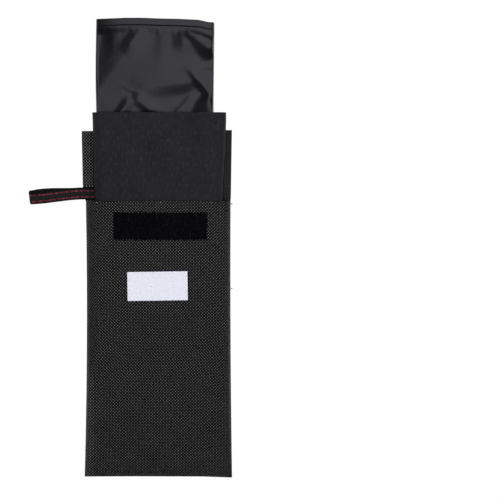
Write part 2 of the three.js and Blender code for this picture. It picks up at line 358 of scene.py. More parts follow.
# %% Webbing, tapes, label, grains and threads
stripe_place, stripe_width = 2.0 * mm, 0.55 * mm
stripe_end_share, stripe_full_share = 0.65, 0.3
webbing_pitch, webbing_relief = 1.25 * mm, 0.08 * mm
webbing_dark, webbing_light = grey(0.001), grey(0.013, (1, 0.92, 1))
red_dark, red_light = (0.03, 0.003, 0.008, 1), (0.36, 0.03, 0.07, 1)
red_between, red_on_picks = 0.7, 0.3
fibre_size, fibre_stretch = 1.1 * mm, (1, 0.6, 1)
dash_size, dash_start, dash_end = 2.2 * mm, 0.4, 0.6
edge_shade_start, edge_shade_end = 2.7 * mm, 3.5 * mm
label_pitch, label_relief = 0.3 * mm, 0.012 * mm
label_dark, label_light = (0.66, 0.67, 0.77, 1), (0.78, 0.79, 0.89, 1)
label_between, label_on_picks, label_dust, dust_size = 0.65, 0.05, 0.25, 4 * mm
speck_start, speck_end, speck_relief = 0.3, 0.7, 0.04 * mm


def picks_of(along, pitch):
    """A smooth bump, from 0 to 1, for each crosswise yarn of a tape."""
    return abs((along * (math.pi / pitch)).sine())


def webbing():
    """Black webbing with fibrous cloth, painted shade along its edges, and two stripes of broken dark red.
    The painted shade also covers all of its reverse side.
    """
    finish = Finish("webbing", "webbing", 0.6, 0.1)
    place = finish.cloth_place()
    across, along, _ = finish.axes(place)
    off_stripe = abs(abs(across) - stripe_place)
    stripe = off_stripe.ramp(stripe_width * stripe_end_share, stripe_width * stripe_full_share)
    picks = picks_of(along, webbing_pitch)
    fibre = finish.noise(place, fibre_size, fibre_stretch, detail=3)
    dashes = finish.noise(place, dash_size).ramp(dash_start, dash_end)
    # Painted shade along the webbing's edges. On the reverse side, whose map lies far aside, it covers
    # everything.
    edge_shade = abs(across).ramp(edge_shade_start, edge_shade_end)
    cloth_colour = finish.mix(fibre * (1 - edge_shade), webbing_dark, webbing_light)
    red = finish.mix((red_between + picks * red_on_picks) * dashes, red_dark, red_light)
    finish.set({"Base Color": finish.mix(stripe, cloth_colour, red)})
    finish.raised(picks, webbing_relief)
    return finish


def white_label():
    """Smooth woven label: fine picks, and a little dust that greys it unevenly."""
    finish = Finish("white_label", "white_label", 0.6, 0.25)
    place = finish.cloth_place()
    picks = picks_of(finish.axes(place)[1], label_pitch)
    shade = label_between + picks * label_on_picks + finish.noise(place, dust_size) * label_dust
    finish.set({"Base Color": finish.mix(shade, label_dark, label_light)})
    finish.raised(picks, label_relief)
    return finish


def flecked(name, slot, dark, light, roughness, size, specular=0.2):
    """A finish that only needs a colour that varies from point to point."""
    finish = Finish(name, slot, roughness, specular)
    speck = finish.noise(finish.object_place(), size)
    finish.set({"Base Color": finish.mix(speck.ramp(speck_start, speck_end), dark, light)})
    finish.raised(speck, speck_relief)
    return finish


webbing_finish, label_finish = webbing(), white_label()
# name, slot, dark and light colour, roughness, size of the specks, specular
pile_finish, hook_finish, black_thread, white_thread, grain_finish = (flecked(*recipe) for recipe in (
    ("loop_pile", "loop_pile", grey(0.0012), grey(0.0056, (1, 0.96, 1.3)), 0.9, 0.8 * mm, 0.03),
    ("hook_tape", "hook_tape", grey(0.004), grey(0.012), 0.5, 0.5 * mm),
    ("black_thread", "outer_weave", grey(0.003), grey(0.011), 0.6, 0.5 * mm),
    ("white_thread", "white_label", grey(0.55), grey(0.8), 0.7, 0.4 * mm),
    ("gel_grains", "gel_grains", grey(0.55, (0.95, 1, 1.02)), grey(0.8), 0.35, 0.5 * mm, 0.5),
))
print(len(bpy.data.materials), "finishes")

# %% [markdown]
# ## From a grid to a cloth
# Every cloth here is a grid of points on its outer face or on its middle. Solidify would give it a
# thickness with square rims, but real cloth has soft edges. So the grid is laid twice, once outwards
# and once inwards, with the distance between the two shrinking to nothing along a quarter circle at
# each rim, and the two layers are welded there. The result is one closed mesh.
# The UV map holds the place on the cut cloth in metres, so that a weave follows the sewn shape.

# %% Grids and their spacing
nothing = 1e-12
rim_points = 5
wave_count = 6
wave_shares = (0.6, 1.6)


def unit(vectors):
    return vectors / np.maximum(np.linalg.norm(vectors, axis=-1, keepdims=True), nothing)


def run_along(points, axis):
    """How far each point lies from the first one along the given direction of a grid."""
    gaps = np.linalg.norm(np.diff(points, axis=axis), axis=-1)
    return np.insert(np.cumsum(gaps, axis=axis), 0, 0, axis=axis)


def round_off(distance, radius):
    """From 0 at an edge to 1 past the radius, along a quarter circle."""
    return np.sqrt(1 - (1 - np.clip(distance / radius, 0, 1)) ** 2)


def smooth(value, low, high):
    """From 0 at low to 1 at high, level at both. With low above high it runs the other way."""
    share = np.clip((value - low) / (high - low), 0, 1)
    return share * share * (3 - 2 * share)


def between(first, second, share):
    """A pair of numbers, that share of the way from one pair to another."""
    return tuple(low + (high - low) * share for low, high in zip(first, second))


def rim_places(rim):
    """Places round a rim: close together at its edge, where the cloth turns down."""
    return rim * (1 - np.cos(np.linspace(0, math.pi / 2, rim_points)))


def steps(length, spacing, rim):
    """Places from one edge to the other: close together at the rounded rims, even between them."""
    middle = np.linspace(rim, length - rim, max(2, round((length - 2 * rim) / spacing)) + 1)[1:-1]
    return np.concatenate([rim_places(rim), middle, length - rim_places(rim)[::-1]])


def even_shares(length, spacing, rim):
    return steps(length, spacing, rim) / length


def ripples(x, y, size, seed):
    """A gentle unevenness from -1 to 1: waves of about that length in several directions."""
    chance = random.Random(seed)
    total = 0
    for _ in range(wave_count):
        angle, phase = chance.uniform(0, math.tau), chance.uniform(0, math.tau)
        wave = math.tau / (size * chance.uniform(*wave_shares))
        total = total + np.sin((x * math.cos(angle) + y * math.sin(angle)) * wave + phase) / wave_count
    return total


print("a rim of 1 mm has places at", rim_places(1).round(2), "mm")

# %% Cloth tools
surfaces = {}
well_above = 1
weld_reach = 1e-7
bend_points = 7
sideways_share = 0.3


def drop(name, x, y):
    """The point and the direction outwards where a piece's upper face lies over a place."""
    point, out, *_ = surfaces[name].ray_cast(Vector((x, y, well_above)), Vector((0, 0, -1)))
    return point, out


def place_piece(mesh, name, finish, body, nodes):
    """Makes an object of a bmesh, gives it its finish and its body, and hides what it stands for."""
    for face in mesh.faces:
        face.smooth = True
    surfaces[name] = BVHTree.FromBMesh(mesh)
    data = bpy.data.meshes.new(name)
    mesh.to_mesh(data)
    mesh.free()
    made = bpy.data.objects.new(name, data)
    bpy.context.scene.collection.objects.link(made)
    data.materials.append(finish.material)
    if nodes:
        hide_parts(*nodes)
    if body:
        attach(made, body)
    return made


def two_layers(rows, across, along, outside, inside, rim, cut):
    """The outer and the inner layer over a grid, which meet at every rim that isn't cut."""
    out = unit(np.cross(np.gradient(rows, axis=1), np.gradient(rows, axis=0)))
    edge = np.minimum(across, across[:, -1:] - across)
    if "start" not in cut:
        edge = np.minimum(edge, along)
    if "end" not in cut:
        edge = np.minimum(edge, along[-1] - along)
    keep = round_off(edge, rim)[..., None]
    return np.stack([rows + out * outside * keep, rows - out * inside * keep])


def close_ends(layers, flat, cut):
    """Adds a row half way between the layers at each cut end, which closes the end square."""
    half_way = layers.mean(axis=0)[None].repeat(2, 0)
    if "start" in cut:
        layers, flat = np.concatenate([half_way[:, :1], layers], axis=1), np.concatenate([flat[:1], flat])
    if "end" in cut:
        layers, flat = np.concatenate([layers, half_way[:, -1:]], axis=1), np.concatenate([flat, flat[-1:]])
    return layers, flat


def welded_layers(layers, flat, reverse):
    """A closed bmesh: a grid for each layer, welded round the rim, with the map of the cut cloth."""
    count, columns = flat.shape[:2]
    mesh = bmesh.new()
    map_layer = mesh.loops.layers.uv.new("cloth")
    bmesh.ops.create_grid(mesh, x_segments=columns - 1, y_segments=count - 1, size=0.5)
    under = bmesh.ops.duplicate(mesh, geom=mesh.verts[:] + mesh.edges[:] + mesh.faces[:])["geom"]
    below = {part for part in under if isinstance(part, bmesh.types.BMVert)}
    turned_over = [part for part in under if isinstance(part, bmesh.types.BMFace)]
    bmesh.ops.reverse_faces(mesh, faces=turned_over)
    rim_verts = []
    index = {}
    for point in mesh.verts:
        column = round((point.co.x + 0.5) * (columns - 1))
        row = round((point.co.y + 0.5) * (count - 1))
        index[point] = (row, column)
        if row in (0, count - 1) or column in (0, columns - 1):
            rim_verts.append(point)
        point.co = layers[1 if point in below else 0, row, column]
    for face in mesh.faces:
        aside = (reverse if face.verts[0] in below else 0, 0)
        for corner in face.loops:
            corner[map_layer].uv = flat[index[corner.vert]] + aside
    bmesh.ops.remove_doubles(mesh, verts=rim_verts, dist=weld_reach)
    return mesh


def cloth(name, rows, finish, outside, inside, rim, body=None, nodes=(), cut=(), origin=0, reverse=0):
    """A closed cloth over a grid of points, and its size. An end named in cut stays square.

    The map of the reverse side can be moved aside, for a cloth whose pattern shows on one side only."""
    across, along = run_along(rows, 1), run_along(rows, 0)
    flat = np.stack([across - across[:, -1:] / 2, along + origin], axis=-1)
    layers = two_layers(rows, across, along, outside, inside, rim, cut)
    mesh = welded_layers(*close_ends(layers, flat, cut), reverse)
    made = place_piece(mesh, name, finish, body, nodes)
    size = (float(across[:, -1].max()), float(along[-1].max()))
    print(f"{name}: cut {size[0]:.3f} by {size[1]:.3f}, {len(made.data.polygons)} faces")
    return made, size


def turned(rows, radius, depth, spacing, side=-1, narrow=0):
    """A cloth whose last edge is turned over: round a half circle, then back as a second ply.

    The turned part can be drawn in a little at both sides."""
    edge = rows[-1]
    ahead = unit(edge - rows[-2])
    up = unit(np.cross(np.gradient(edge, axis=0), ahead)) * side * (sideways_share, 1, 1)
    bends = [
        edge + ahead * radius * math.sin(angle) + up * radius * (1 - math.cos(angle))
        for angle in np.linspace(0, math.pi, bend_points)[1:]
    ]
    back = [edge - ahead * run + up * 2 * radius for run in np.arange(spacing, depth, spacing)]
    folded = np.array(bends + back)
    middle = (edge[0, 0] + edge[-1, 0]) / 2
    folded[..., 0] = middle + (folded[..., 0] - middle) * (1 - 2 * narrow / (edge[-1, 0] - edge[0, 0]))
    return np.concatenate([rows, folded])


print("a turned hem has", bend_points - 1, "rows round its bend")

# %% [markdown]
# ## A sewn shell
# The pouch's front, the sleeve's front and the bag's front are made the same way: a flat seam at each
# side, a rounded shoulder, and a crown over what the case holds. A cross-section is drawn as a lip,
# a seam and two superellipse shoulders, and its points are spread evenly along its length, so that
# the grid stays even where the cloth turns down. A simulation would find much the same shape, but it
# would lose the edges that have to meet the back.

# %% Shell tools
end_power = 1.25
shoulder_points, crown_points = 33, 120
crowding, crowding_power = 1.4, 1.6


def end_rise(y, start, flat, taper):
    """How far a closed end has risen: 0 along its flat seam, 1 where its rounding is over."""
    share = np.clip((y - start - flat) / (taper - flat), 0, 1)
    return (1 - (1 - share) ** end_power) ** (1 / end_power)


def half_section(seam, lip, shoulder, power):
    """From the edge inwards: distance from the edge, share of the crown's height, share of the lip's."""
    turn = np.linspace(0, math.pi / 2, shoulder_points)
    lips = lip * (1 - np.cos(turn))
    rising = shoulder * (1 - np.cos(turn).clip(0) ** (2 / power))
    inwards = np.concatenate([lips, seam + rising])
    crown = np.concatenate([np.zeros_like(lips), np.sin(turn) ** (2 / power)])
    rim = np.concatenate([np.sin(turn), np.ones_like(rising)])
    return inwards, crown, rim


def shell(along, edges, base, lip, seam, shoulders, height, relief, shares):
    """The outer face of a sewn shell, as rows of points. Each shoulder has a width and a power."""
    rows = []
    for y in along:
        left, right = edges(y)
        near, near_crown, near_rim = half_section(seam, lip, *shoulders(y)[0])
        far, far_crown, far_rim = half_section(seam, lip, *shoulders(y)[1])
        middle = np.linspace(left + near[-1], right - far[-1], crown_points)[1:-1]
        full = np.ones_like(middle)
        x = np.concatenate([left + near, middle, (right - far)[::-1]])
        crown = np.concatenate([near_crown, full, far_crown[::-1]])
        rim = np.concatenate([near_rim, full, far_rim[::-1]])
        z = base + lip * rim * round_off(y - along[0], lip) + height(y) * crown + relief(x, y) * crown ** 2
        run = np.insert(np.cumsum(np.hypot(np.diff(x), np.diff(z))), 0, 0)
        at = shares * run[-1]
        rows.append(np.stack([np.interp(at, run, x), np.full_like(at, y), np.interp(at, run, z)], axis=1))
    return np.array(rows)


def shell_stations(start, end, lip, taper, spacing):
    """Rows of a shell: close together round the bottom lip and the tapered end, even after it."""
    lips = start + rim_places(lip)
    count = round(crowding * taper / spacing)
    rising = lips[-1] + (taper - lip) * np.linspace(0, 1, count) ** crowding_power
    even = np.linspace(start + taper, end, round((end - start - taper) / spacing) + 1)
    return np.concatenate([lips, rising[1:], even[1:]])


print("each shoulder has", shoulder_points, "points")

# %% [markdown]
# ## The pouch's front
# One panel of the coarse nylon, sewn to the back at both sides and at the bottom, with its mouth
# turned inwards. On the real case the left side slopes down softly while the right side is pulled
# tight, so the left shoulder is rounder. It firms up towards the bottom, where nothing fills it.

# %% Pouch front
outer_ply, outer_spacing = 0.6 * mm, 0.9 * mm
outer_lip, outer_seam = 0.9 * mm, 0.5 * mm
outer_flat, pouch_taper = 2 * mm, 44 * mm
hem_radius, mouth_hem = 0.35 * mm, 8 * mm
edge_ease = (0.35 * mm, 0.25 * mm)
crown_height = front_high.z - back_high.z - outer_lip
pouch_girth = 2 * front_high.x + 20 * mm
solid_edges = edges_of("outer_front_panel")
hollow_depth, hollow_size = 0.25 * mm, 34 * mm
pouch_sag, sag_width = 0.3 * mm, 0.9 * front_high.x
sag_start, sag_end = sleeve_low.y + 12 * mm, sleeve_low.y - 18 * mm
soft_start, soft_end = -35 * mm, 10 * mm
firm_shoulder, soft_shoulder, right_shoulder = (3 * mm, 3), (12.5 * mm, 2), (4.5 * mm, 3.2)
bottom_shares = (0, 0.35, 0.8, 1)
bottom_rises = np.array((0, 0.15, 0, -0.65)) * mm
bottom_reach = 25 * mm


def pouch_edges(y):
    """The woven edges stand a little further out than the solid's."""
    left, right = solid_edges(y)
    return left - edge_ease[0], right + edge_ease[1]


def uneven_bottom(rows):
    """The bottom seam isn't quite straight: its right corner hangs lower."""
    share = (rows[..., 0] - front_low.x) / (front_high.x - front_low.x)
    near = 1 - smooth(rows[..., 1], bottom, bottom + bottom_reach)
    rows[..., 1] += np.interp(share, bottom_shares, bottom_rises) * near
    return rows


def pouch_rise(y):
    return end_rise(y, bottom, outer_flat, pouch_taper)


def pouch_relief(x, y):
    """Small hollows in the crown, and a slight sag below the sleeve's end."""
    sag = pouch_sag * smooth(y, sag_start, sag_end) * (1 - (x / sag_width) ** 2).clip(0)
    hollows = hollow_depth * (ripples(x, y, hollow_size, seed=3) - 1)
    return (hollows - sag) * pouch_rise(y)


def pouch_shoulders(y):
    """The left shoulder is broad and soft towards the mouth, and firm below as the right one is."""
    return between(firm_shoulder, soft_shoulder, smooth(y, soft_start, soft_end)), right_shoulder


pouch_rows = shell(
    shell_stations(bottom, mouth - hem_radius, outer_lip, pouch_taper, outer_spacing),
    pouch_edges, back_high.z, outer_lip, outer_seam, pouch_shoulders,
    lambda y: crown_height * pouch_rise(y), pouch_relief,
    even_shares(pouch_girth, outer_spacing, outer_ply),
)
pouch_hemmed = turned(uneven_bottom(pouch_rows), hem_radius, mouth_hem, outer_spacing)
pouch_front, pouch_front_cut = cloth(
    "pouch_front", pouch_hemmed, outer_finish,
    0, outer_ply, outer_ply, "pouch", ["outer_front_panel"],
)

# %% [markdown]
# ## The back and the flap
# One length of the same cloth, two plies thick, runs up the back, past the mouth and on as the flap.
# It creases twice when the flap closes. The cloth is split in two half way up its spine, where it never
# bends, and each half holds one of the creases.

# %% Back, spine and lid
slab_half, slab_spacing = back_high.z / 2, 1.1 * mm
spine_middle = (spine_low.y + spine_high.y) / 2
back_edges = edges_of("outer_back_panel")
flap_root_sides = edges_of("flap_spine_panel")(spine_low.y)
flap_top_sides = edges_of("flap_lid_panel")(lid_high.y)
flare_start, flare_end = mouth + 0.4 * mm, mouth + 2.2 * mm
flap_tilt = 0.7 * mm
corner_lift, corner_start, corner_end = 0.5 * mm, 26 * mm, 50 * mm
lift_start = 118 * mm
crease_half = 1.8 * mm


def flat_edges(y):
    """The side edges of the back and the flap, which widens just past the mouth."""
    share = max((y - spine_low.y) / (lid_high.y - spine_low.y), 0)
    flap_sides = between(flap_root_sides, flap_top_sides, share)
    left, right = between(back_edges(min(y, mouth)), flap_sides, smooth(y, flare_start, flare_end))
    return left - edge_ease[0], right + edge_ease[1]


def flat_rows(start, end, lift=lambda x, y: 0, tilt=0):
    """Rows of a flat cloth between the side edges, at half its thickness over the table."""
    rows = []
    shares = even_shares(back_high.x - back_low.x, slab_spacing, slab_half)
    for y in steps(end - start, slab_spacing, slab_half) + start:
        left, right = flat_edges(y)
        x = left + (right - left) * shares
        slant = tilt * smooth(y, start, end) * np.linspace(0, 1, len(x))
        rows.append(np.stack([x, y + slant, np.full_like(x, slab_half) + lift(x, y)], axis=1))
    return np.array(rows)


def lid_lift(x, y):
    """The open flap's free corners stand a little off the table."""
    return corner_lift * smooth(np.abs(x), corner_start, corner_end) * smooth(y, lift_start, lid_high.y)


def crease_of(name):
    """The place along the case of a fold joint's axis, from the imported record."""
    joints = frame["record"]["behaviour"]["joints"]
    return next(joint["pos_m"][1] for joint in joints if joint["name"] == name)


flap_crease, lid_crease = crease_of("flap_fold"), crease_of("lid_fold")
pouch_back, back_cut = cloth(
    "pouch_back", uneven_bottom(flat_rows(bottom, spine_middle)), outer_finish,
    slab_half, slab_half, slab_half,
    nodes=["outer_back_panel", "flap_spine_panel"], cut=("end",), origin=bottom,
)
flap_lid, lid_cut = cloth(
    "flap_lid", flat_rows(spine_middle, lid_high.y, lid_lift, flap_tilt), outer_finish,
    slab_half, slab_half, slab_half,
    nodes=["flap_lid_panel"], cut=("start",), origin=spine_middle,
)
for made, cut_size, bodies, crease in (
    (pouch_back, back_cut, ("pouch", "flap_spine"), flap_crease),
    (flap_lid, lid_cut, ("flap_spine", "flap_lid"), lid_crease),
):
    crease - crease_half
    crease + crease_half
    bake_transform(made)

# %% [markdown]
# ## The sleeve
# Two fine cloths over two linings, sewn together round the sides and the bottom. The pouch's mouth
# draws the real sleeve in a little, so its sides lean inwards from its own mouth down. Its left
# shoulder is round and its right one nearly square, as the cloth is sewn to the back there.
# The flap can only close over a sleeve that is pushed home.

# %% Tools for the inserts
def sunk_by(anchor_y, top_y, below_mouth):
    """An insert's anchor, and the share of its length past it that it keeps to end below the mouth."""
    return anchor_y, (mouth - below_mouth - anchor_y) / (top_y - anchor_y)


def sink(made, anchor_y, keep):
    """Gives the insert a mesh of its own."""
    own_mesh(made)


def sink_sheets(pieces, anchor_y, keep):
    for made, cut_size in pieces:
        sink(made, anchor_y, keep)


panel_spacing, panel_hem_gap = 2 * mm, 0.02 * mm


def flat_panel(name, edges, start, end, low, high, finish, body, nodes, hem=None):
    """A flat cloth with rounded sides, between two heights. Its mouth can be hemmed downwards."""
    half = (high - low) / 2
    rows = []
    shares = even_shares(edges(start)[1] - edges(start)[0], panel_spacing, half)
    for y in steps(end - start, panel_spacing, half) + start:
        left, right = edges(y)
        x = left + (right - left) * shares
        rows.append(np.stack([x, np.full_like(x, y), np.full_like(x, low + half)], axis=1))
    rows = np.array(rows)
    if hem:
        rows = turned(rows, half + panel_hem_gap, hem, panel_spacing)
    return cloth(name, rows, finish, half, half, half, body, nodes)


print("flat panels have a row every", panel_spacing)

# %% Sleeve cloths
sleeve_ply, sleeve_spacing = 0.3 * mm, 1.3 * mm
sleeve_lip, sleeve_seam = 0.5 * mm, 0.1 * mm
sleeve_flat, sleeve_taper = 3 * mm, 46 * mm
sleeve_girth = 102 * mm
sleeve_back_low, sleeve_back_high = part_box("sleeve_back_cloth")
sleeve_front_start, sleeve_front_end = sleeve_low.y + 2 * mm, sleeve_high.y - 0.2 * mm
sleeve_hem_radius, sleeve_hem = 0.2 * mm, 9 * mm
sleeve_top_sides = (-43.4 * mm, 44.7 * mm)
sleeve_mouth_sides = (-42.0 * mm, 41.9 * mm)
lean_start, top_start = mouth - 14 * mm, sleeve_high.y - 4 * mm
sleeve_flare, sleeve_waist = 0.2 * mm, 0.7 * mm
waist_low, waist_high = mouth - 30 * mm, mouth - 8 * mm
sleeve_shoulders = ((7 * mm, 2.6), (5 * mm, 3.2))
sleeve_hollow, sleeve_hollow_size = 0.35 * mm, 45 * mm
corner_fold, corner_width = 0.25 * mm, 0.9 * mm
corner_at, corner_lean = (38.2 * mm, 146 * mm), (0.93, 0.36)
corner_from, corner_to = 141 * mm, 147 * mm
sleeve_anchor, sleeve_below_mouth = 10 * mm, 1 * mm
sleeve_sunk = sunk_by(sleeve_anchor, sleeve_high.y, sleeve_below_mouth)


def sleeve_edges(y):
    """The sleeve's sides, drawn in by the pouch's mouth. The left one is wider again inside the pouch."""
    left, right = between(sleeve_mouth_sides, sleeve_top_sides, smooth(y, lean_start, top_start))
    hidden = 1 - smooth(y, waist_low, waist_high)
    return left - sleeve_waist * hidden - sleeve_flare * smooth(y, top_start, sleeve_high.y), right


def sleeve_rise(y):
    return end_rise(y, sleeve_low.y, sleeve_flat, sleeve_taper)


def sleeve_relief(x, y):
    """Broad soft hollows, and a small fold at the top right corner."""
    off_fold = (x - corner_at[0]) * corner_lean[0] + (y - corner_at[1]) * corner_lean[1]
    corner = np.exp(-(off_fold / corner_width) ** 2) * smooth(y, corner_from, corner_to)
    hollows = sleeve_hollow * (ripples(x, y, sleeve_hollow_size, seed=11) - 1)
    return hollows * sleeve_rise(y) + corner_fold * corner


def sleeve_height(y):
    return (sleeve_high.z - sleeve_back_high.z - sleeve_lip) * sleeve_rise(y)


sleeve_rows = shell(
    shell_stations(sleeve_front_start, sleeve_front_end, sleeve_lip, sleeve_taper, sleeve_spacing),
    sleeve_edges, sleeve_back_high.z, sleeve_lip, sleeve_seam, lambda y: sleeve_shoulders,
    sleeve_height, sleeve_relief, even_shares(sleeve_girth, sleeve_spacing, sleeve_ply),
)
sleeve_front = cloth(
    "sleeve_front", turned(sleeve_rows, sleeve_hem_radius, sleeve_hem, sleeve_spacing), sleeve_finish,
    0, sleeve_ply, sleeve_ply, "sleeve", ["sleeve_front_cloth"],
)
sleeve_back = flat_panel(
    "sleeve_back", sleeve_edges, sleeve_low.y, sleeve_high.y, sleeve_back_low.z, sleeve_back_high.z,
    sleeve_finish, "sleeve", ["sleeve_back_cloth"],
)
sink_sheets((sleeve_front, sleeve_back), *sleeve_sunk)

# %% [markdown]
# ## The sleeve's linings and grains
# Each wall of the sleeve is cloth, grains and lining. The linings show only just inside the
# sleeve's mouth, so they are drawn on a coarser grid. The grains are dry: loose angular crumbs in
# four sewn channels on each side. A hundred facets would be wasted on a crumb of half a millimetre,
# so one small faceted pattern is turned, scaled and copied.

# %% Linings
liner_low, liner_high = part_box("sleeve_front_liner")
back_liner_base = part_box("sleeve_back_liner")[0].z
back_liner_tops = tops_of("sleeve_back_liner")
liner_ply, liner_spacing = 0.25 * mm, 1.6 * mm
liner_start, liner_end, liner_row_spacing = liner_low.y + 1 * mm, liner_high.y - 1.2 * mm, 2 * mm
liner_insets = (0.35 * mm, -0.7 * mm)
liner_base = back_liner_base + 0.35 * mm
liner_lip, back_liner_lip = 0.3 * mm, 0.02 * mm
liner_seam, back_liner_seam = 0.1 * mm, 2.4 * mm
liner_taper, back_liner_taper = 22 * mm, 10 * mm
liner_girth, back_liner_girth = 98 * mm, 88 * mm
back_liner_shoulder = (3 * mm, 2.6)
liner_gap, least_height = 0.1 * mm, 0.1 * mm
grain_space = 1.3 * mm
grain_start, grain_full = -12 * mm, -3 * mm
grain_fading, grain_end = liner_high.y - 9 * mm, liner_high.y - 2 * mm


def liner_edges(y):
    return [side + inset for side, inset in zip(sleeve_edges(y), liner_insets)]


def liner_height(y):
    """Under the front cloth by its ply and, between the channels' ends, by the grains."""
    grains = smooth(y, grain_start, grain_full) * (1 - smooth(y, grain_fading, grain_end))
    under = sleeve_ply + grain_space * grains
    top = sleeve_back_high.z + sleeve_lip + sleeve_height(y) - under
    return max(top - liner_base - liner_lip, least_height)


def lining(name, node, base, lip, seam, taper, shoulders, height, relief, girth):
    rows = shell(
        shell_stations(liner_start, liner_end, lip, taper, liner_row_spacing),
        liner_edges, base, lip, seam, lambda y: shoulders, height, relief,
        even_shares(girth, liner_spacing, liner_ply),
    )
    return cloth(name, rows, liner_finish, 0, liner_ply, liner_ply, "sleeve", [node])


linings = (
    lining(
        "sleeve_lining_front", "sleeve_front_liner", liner_base, liner_lip, liner_seam, liner_taper,
        sleeve_shoulders, liner_height, lambda x, y: sleeve_relief(x, y) - liner_gap, liner_girth,
    ),
    lining(
        "sleeve_lining_back", "sleeve_back_liner", back_liner_base, back_liner_lip, back_liner_seam,
        back_liner_taper, (back_liner_shoulder, back_liner_shoulder),
        lambda y: back_liner_tops(y) - back_liner_base - back_liner_lip, lambda x, y: 0 * x,
        back_liner_girth,
    ),
)
sink_sheets(linings, *sleeve_sunk)

# %% Scattered grains
def scatter(name, pattern, places, finish, body, nodes=()):
    """One mesh with a copy of the pattern, which is a bmesh, at each of the given matrices."""
    single = bpy.data.meshes.new(name + "_single")
    pattern.to_mesh(single)
    pattern.free()
    mesh = bmesh.new()
    for place in places:
        copy = single.copy()
        copy.transform(place)
        mesh.from_mesh(copy)
        bpy.data.meshes.remove(copy)
    bpy.data.meshes.remove(single)
    made = place_piece(mesh, name, finish, body, nodes)
    print(f"{name}: {len(places)} copies, {len(made.data.polygons)} faces")
    return made


def ball(subdivisions):
    """A ball one unit across: a rough crumb with 1 subdivision, a rounded bead with 2."""
    pattern = bmesh.new()
    bmesh.ops.create_icosphere(pattern, subdivisions=subdivisions, radius=0.5)
    return pattern


crumb_count = 420
crumb_sizes = (0.45 * mm, 0.85 * mm)
crumb_depth_shares, crumb_height_shares = (0.6, 1), (0.5, 0.9)

for node in sorted(name for name in frame["nodes"] if name.startswith("gel_channel")):
    chance = random.Random(node)
    low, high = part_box(node)
    places = []
    for _ in range(crumb_count):
        size = chance.uniform(*crumb_sizes)
        at = Vector([chance.uniform(low[axis] + size / 2, high[axis] - size / 2) for axis in range(3)])
        if "front" in node:
            at.z += drop("sleeve_front", at.x, at.y)[0].z - sleeve_ply - high.z
        angle = chance.uniform(0, math.tau)
        turn = Matrix.Rotation(angle, 4, Vector((chance.random(), chance.random(), 1)))
        depth = size * chance.uniform(*crumb_depth_shares)
        height = size * chance.uniform(*crumb_height_shares)
        places.append(Matrix.Translation(at) @ turn @ Matrix.Diagonal((size, depth, height, 1)))
    grains = scatter(node.replace("channel", "grains"), ball(1), places, grain_finish, "sleeve", [node])
    for polygon in grains.data.polygons:
        polygon.use_smooth = False
    sink(grains, *sleeve_sunk)

# %% [markdown]
# ## The bag
# Thin coated nylon creases sharply, and its shine is what shows it. Light comes from the upper right,
# so a wall that leans to the left or towards the bottom goes dark. Each fold is drawn as a ridge with
# a steep side and a gentle side, placed as shares of the bag's width and of the length that
# shows. A cloth simulation would crease too, but not in these places.

# %% Folds in the nylon
shown_length = bag_high.y - sleeve_high.y
bag_width = bag_high.x - bag_low.x

# start across, start down, end across, end down, fade at the start, fade at the end
fold_shares = (
    (0.60, -0.20, -0.12, 1.02, 0.05, 0.25),
    (0.15, 0.02, 0.14, 0.36, 0.1, 0.4),
    (0.385, 0.09, 0.265, 0.33, 0.15, 0.3),
    (0.575, 0.05, 0.58, 0.50, 0.15, 0.4),
    (0.755, 0.05, 0.755, 0.36, 0.2, 0.4),
    (0.775, 0.075, 1.00, 0.345, 0.1, 0.2),
    (0.90, 0.525, 1.02, 0.51, 0.2, 0.1),
    (0.81, 0.55, 1.0, 0.84, 0.3, 0.1),
    (0.30, 0.73, 0.88, 0.65, 0.5, 0.2),
    (0.95, 0.82, 1.00, 1.08, 0.2, 0.1),
    (0.84, 0.80, 0.66, 1.05, 0.3, 0.2),
    (0.285, 0.865, 0.19, 1.03, 0.3, 0.2),
    (0.325, 0.84, 0.49, 0.99, 0.2, 0.2),
    (0.235, 0.74, 0.39, 0.815, 0.3, 0.2),
    (0.09, 0.425, 0.15, 0.415, 0.2, 0.2),
)
# height at the start, at the end, steep width at the start, at the end, gentle width
fold_sizes = np.array((
    (3.9, 1.3, 34, 6, 75),
    (1.8, 0.7, 6, 6, 13),
    (1.3, 1.2, 6, 6, 8),
    (0.7, 0.45, 7, 7, 12),
    (2.0, 1.8, 9, 9, 12),
    (1.9, 4.4, 4.5, 11, 12),
    (0.5, 0.5, 2.4, 2.4, 3),
    (1.7, 2.2, 4, 5, 8),
    (1.6, 2.4, 11, 9, 30),
    (2.2, 5.0, 7, 20, 4),
    (0.6, 0.6, 3, 3, 7),
    (1.1, 1.2, 4, 4, 5),
    (1.0, 1.2, 5, 4, 6),
    (0.2, 0.2, 0.9, 0.9, 2.4),
    (0.1, 0.1, 0.7, 0.7, 1.2),
)) * mm
crest_share = 0.24
overrun_share = 0.1
least_width = 0.5 * mm
bag_ripple, bag_ripple_size = 0.06 * mm, 17 * mm


def bag_point(across, down):
    return np.array([bag_low.x + across * bag_width, bag_high.y - down * shown_length])


def tent(share):
    """A ridge with flat sides: 1 at its crest, 0 past a share of 1, rounded at the crest and the foot."""
    fall = 1 - np.hypot(share, crest_share)
    return (fall + np.hypot(fall, crest_share)) / 2


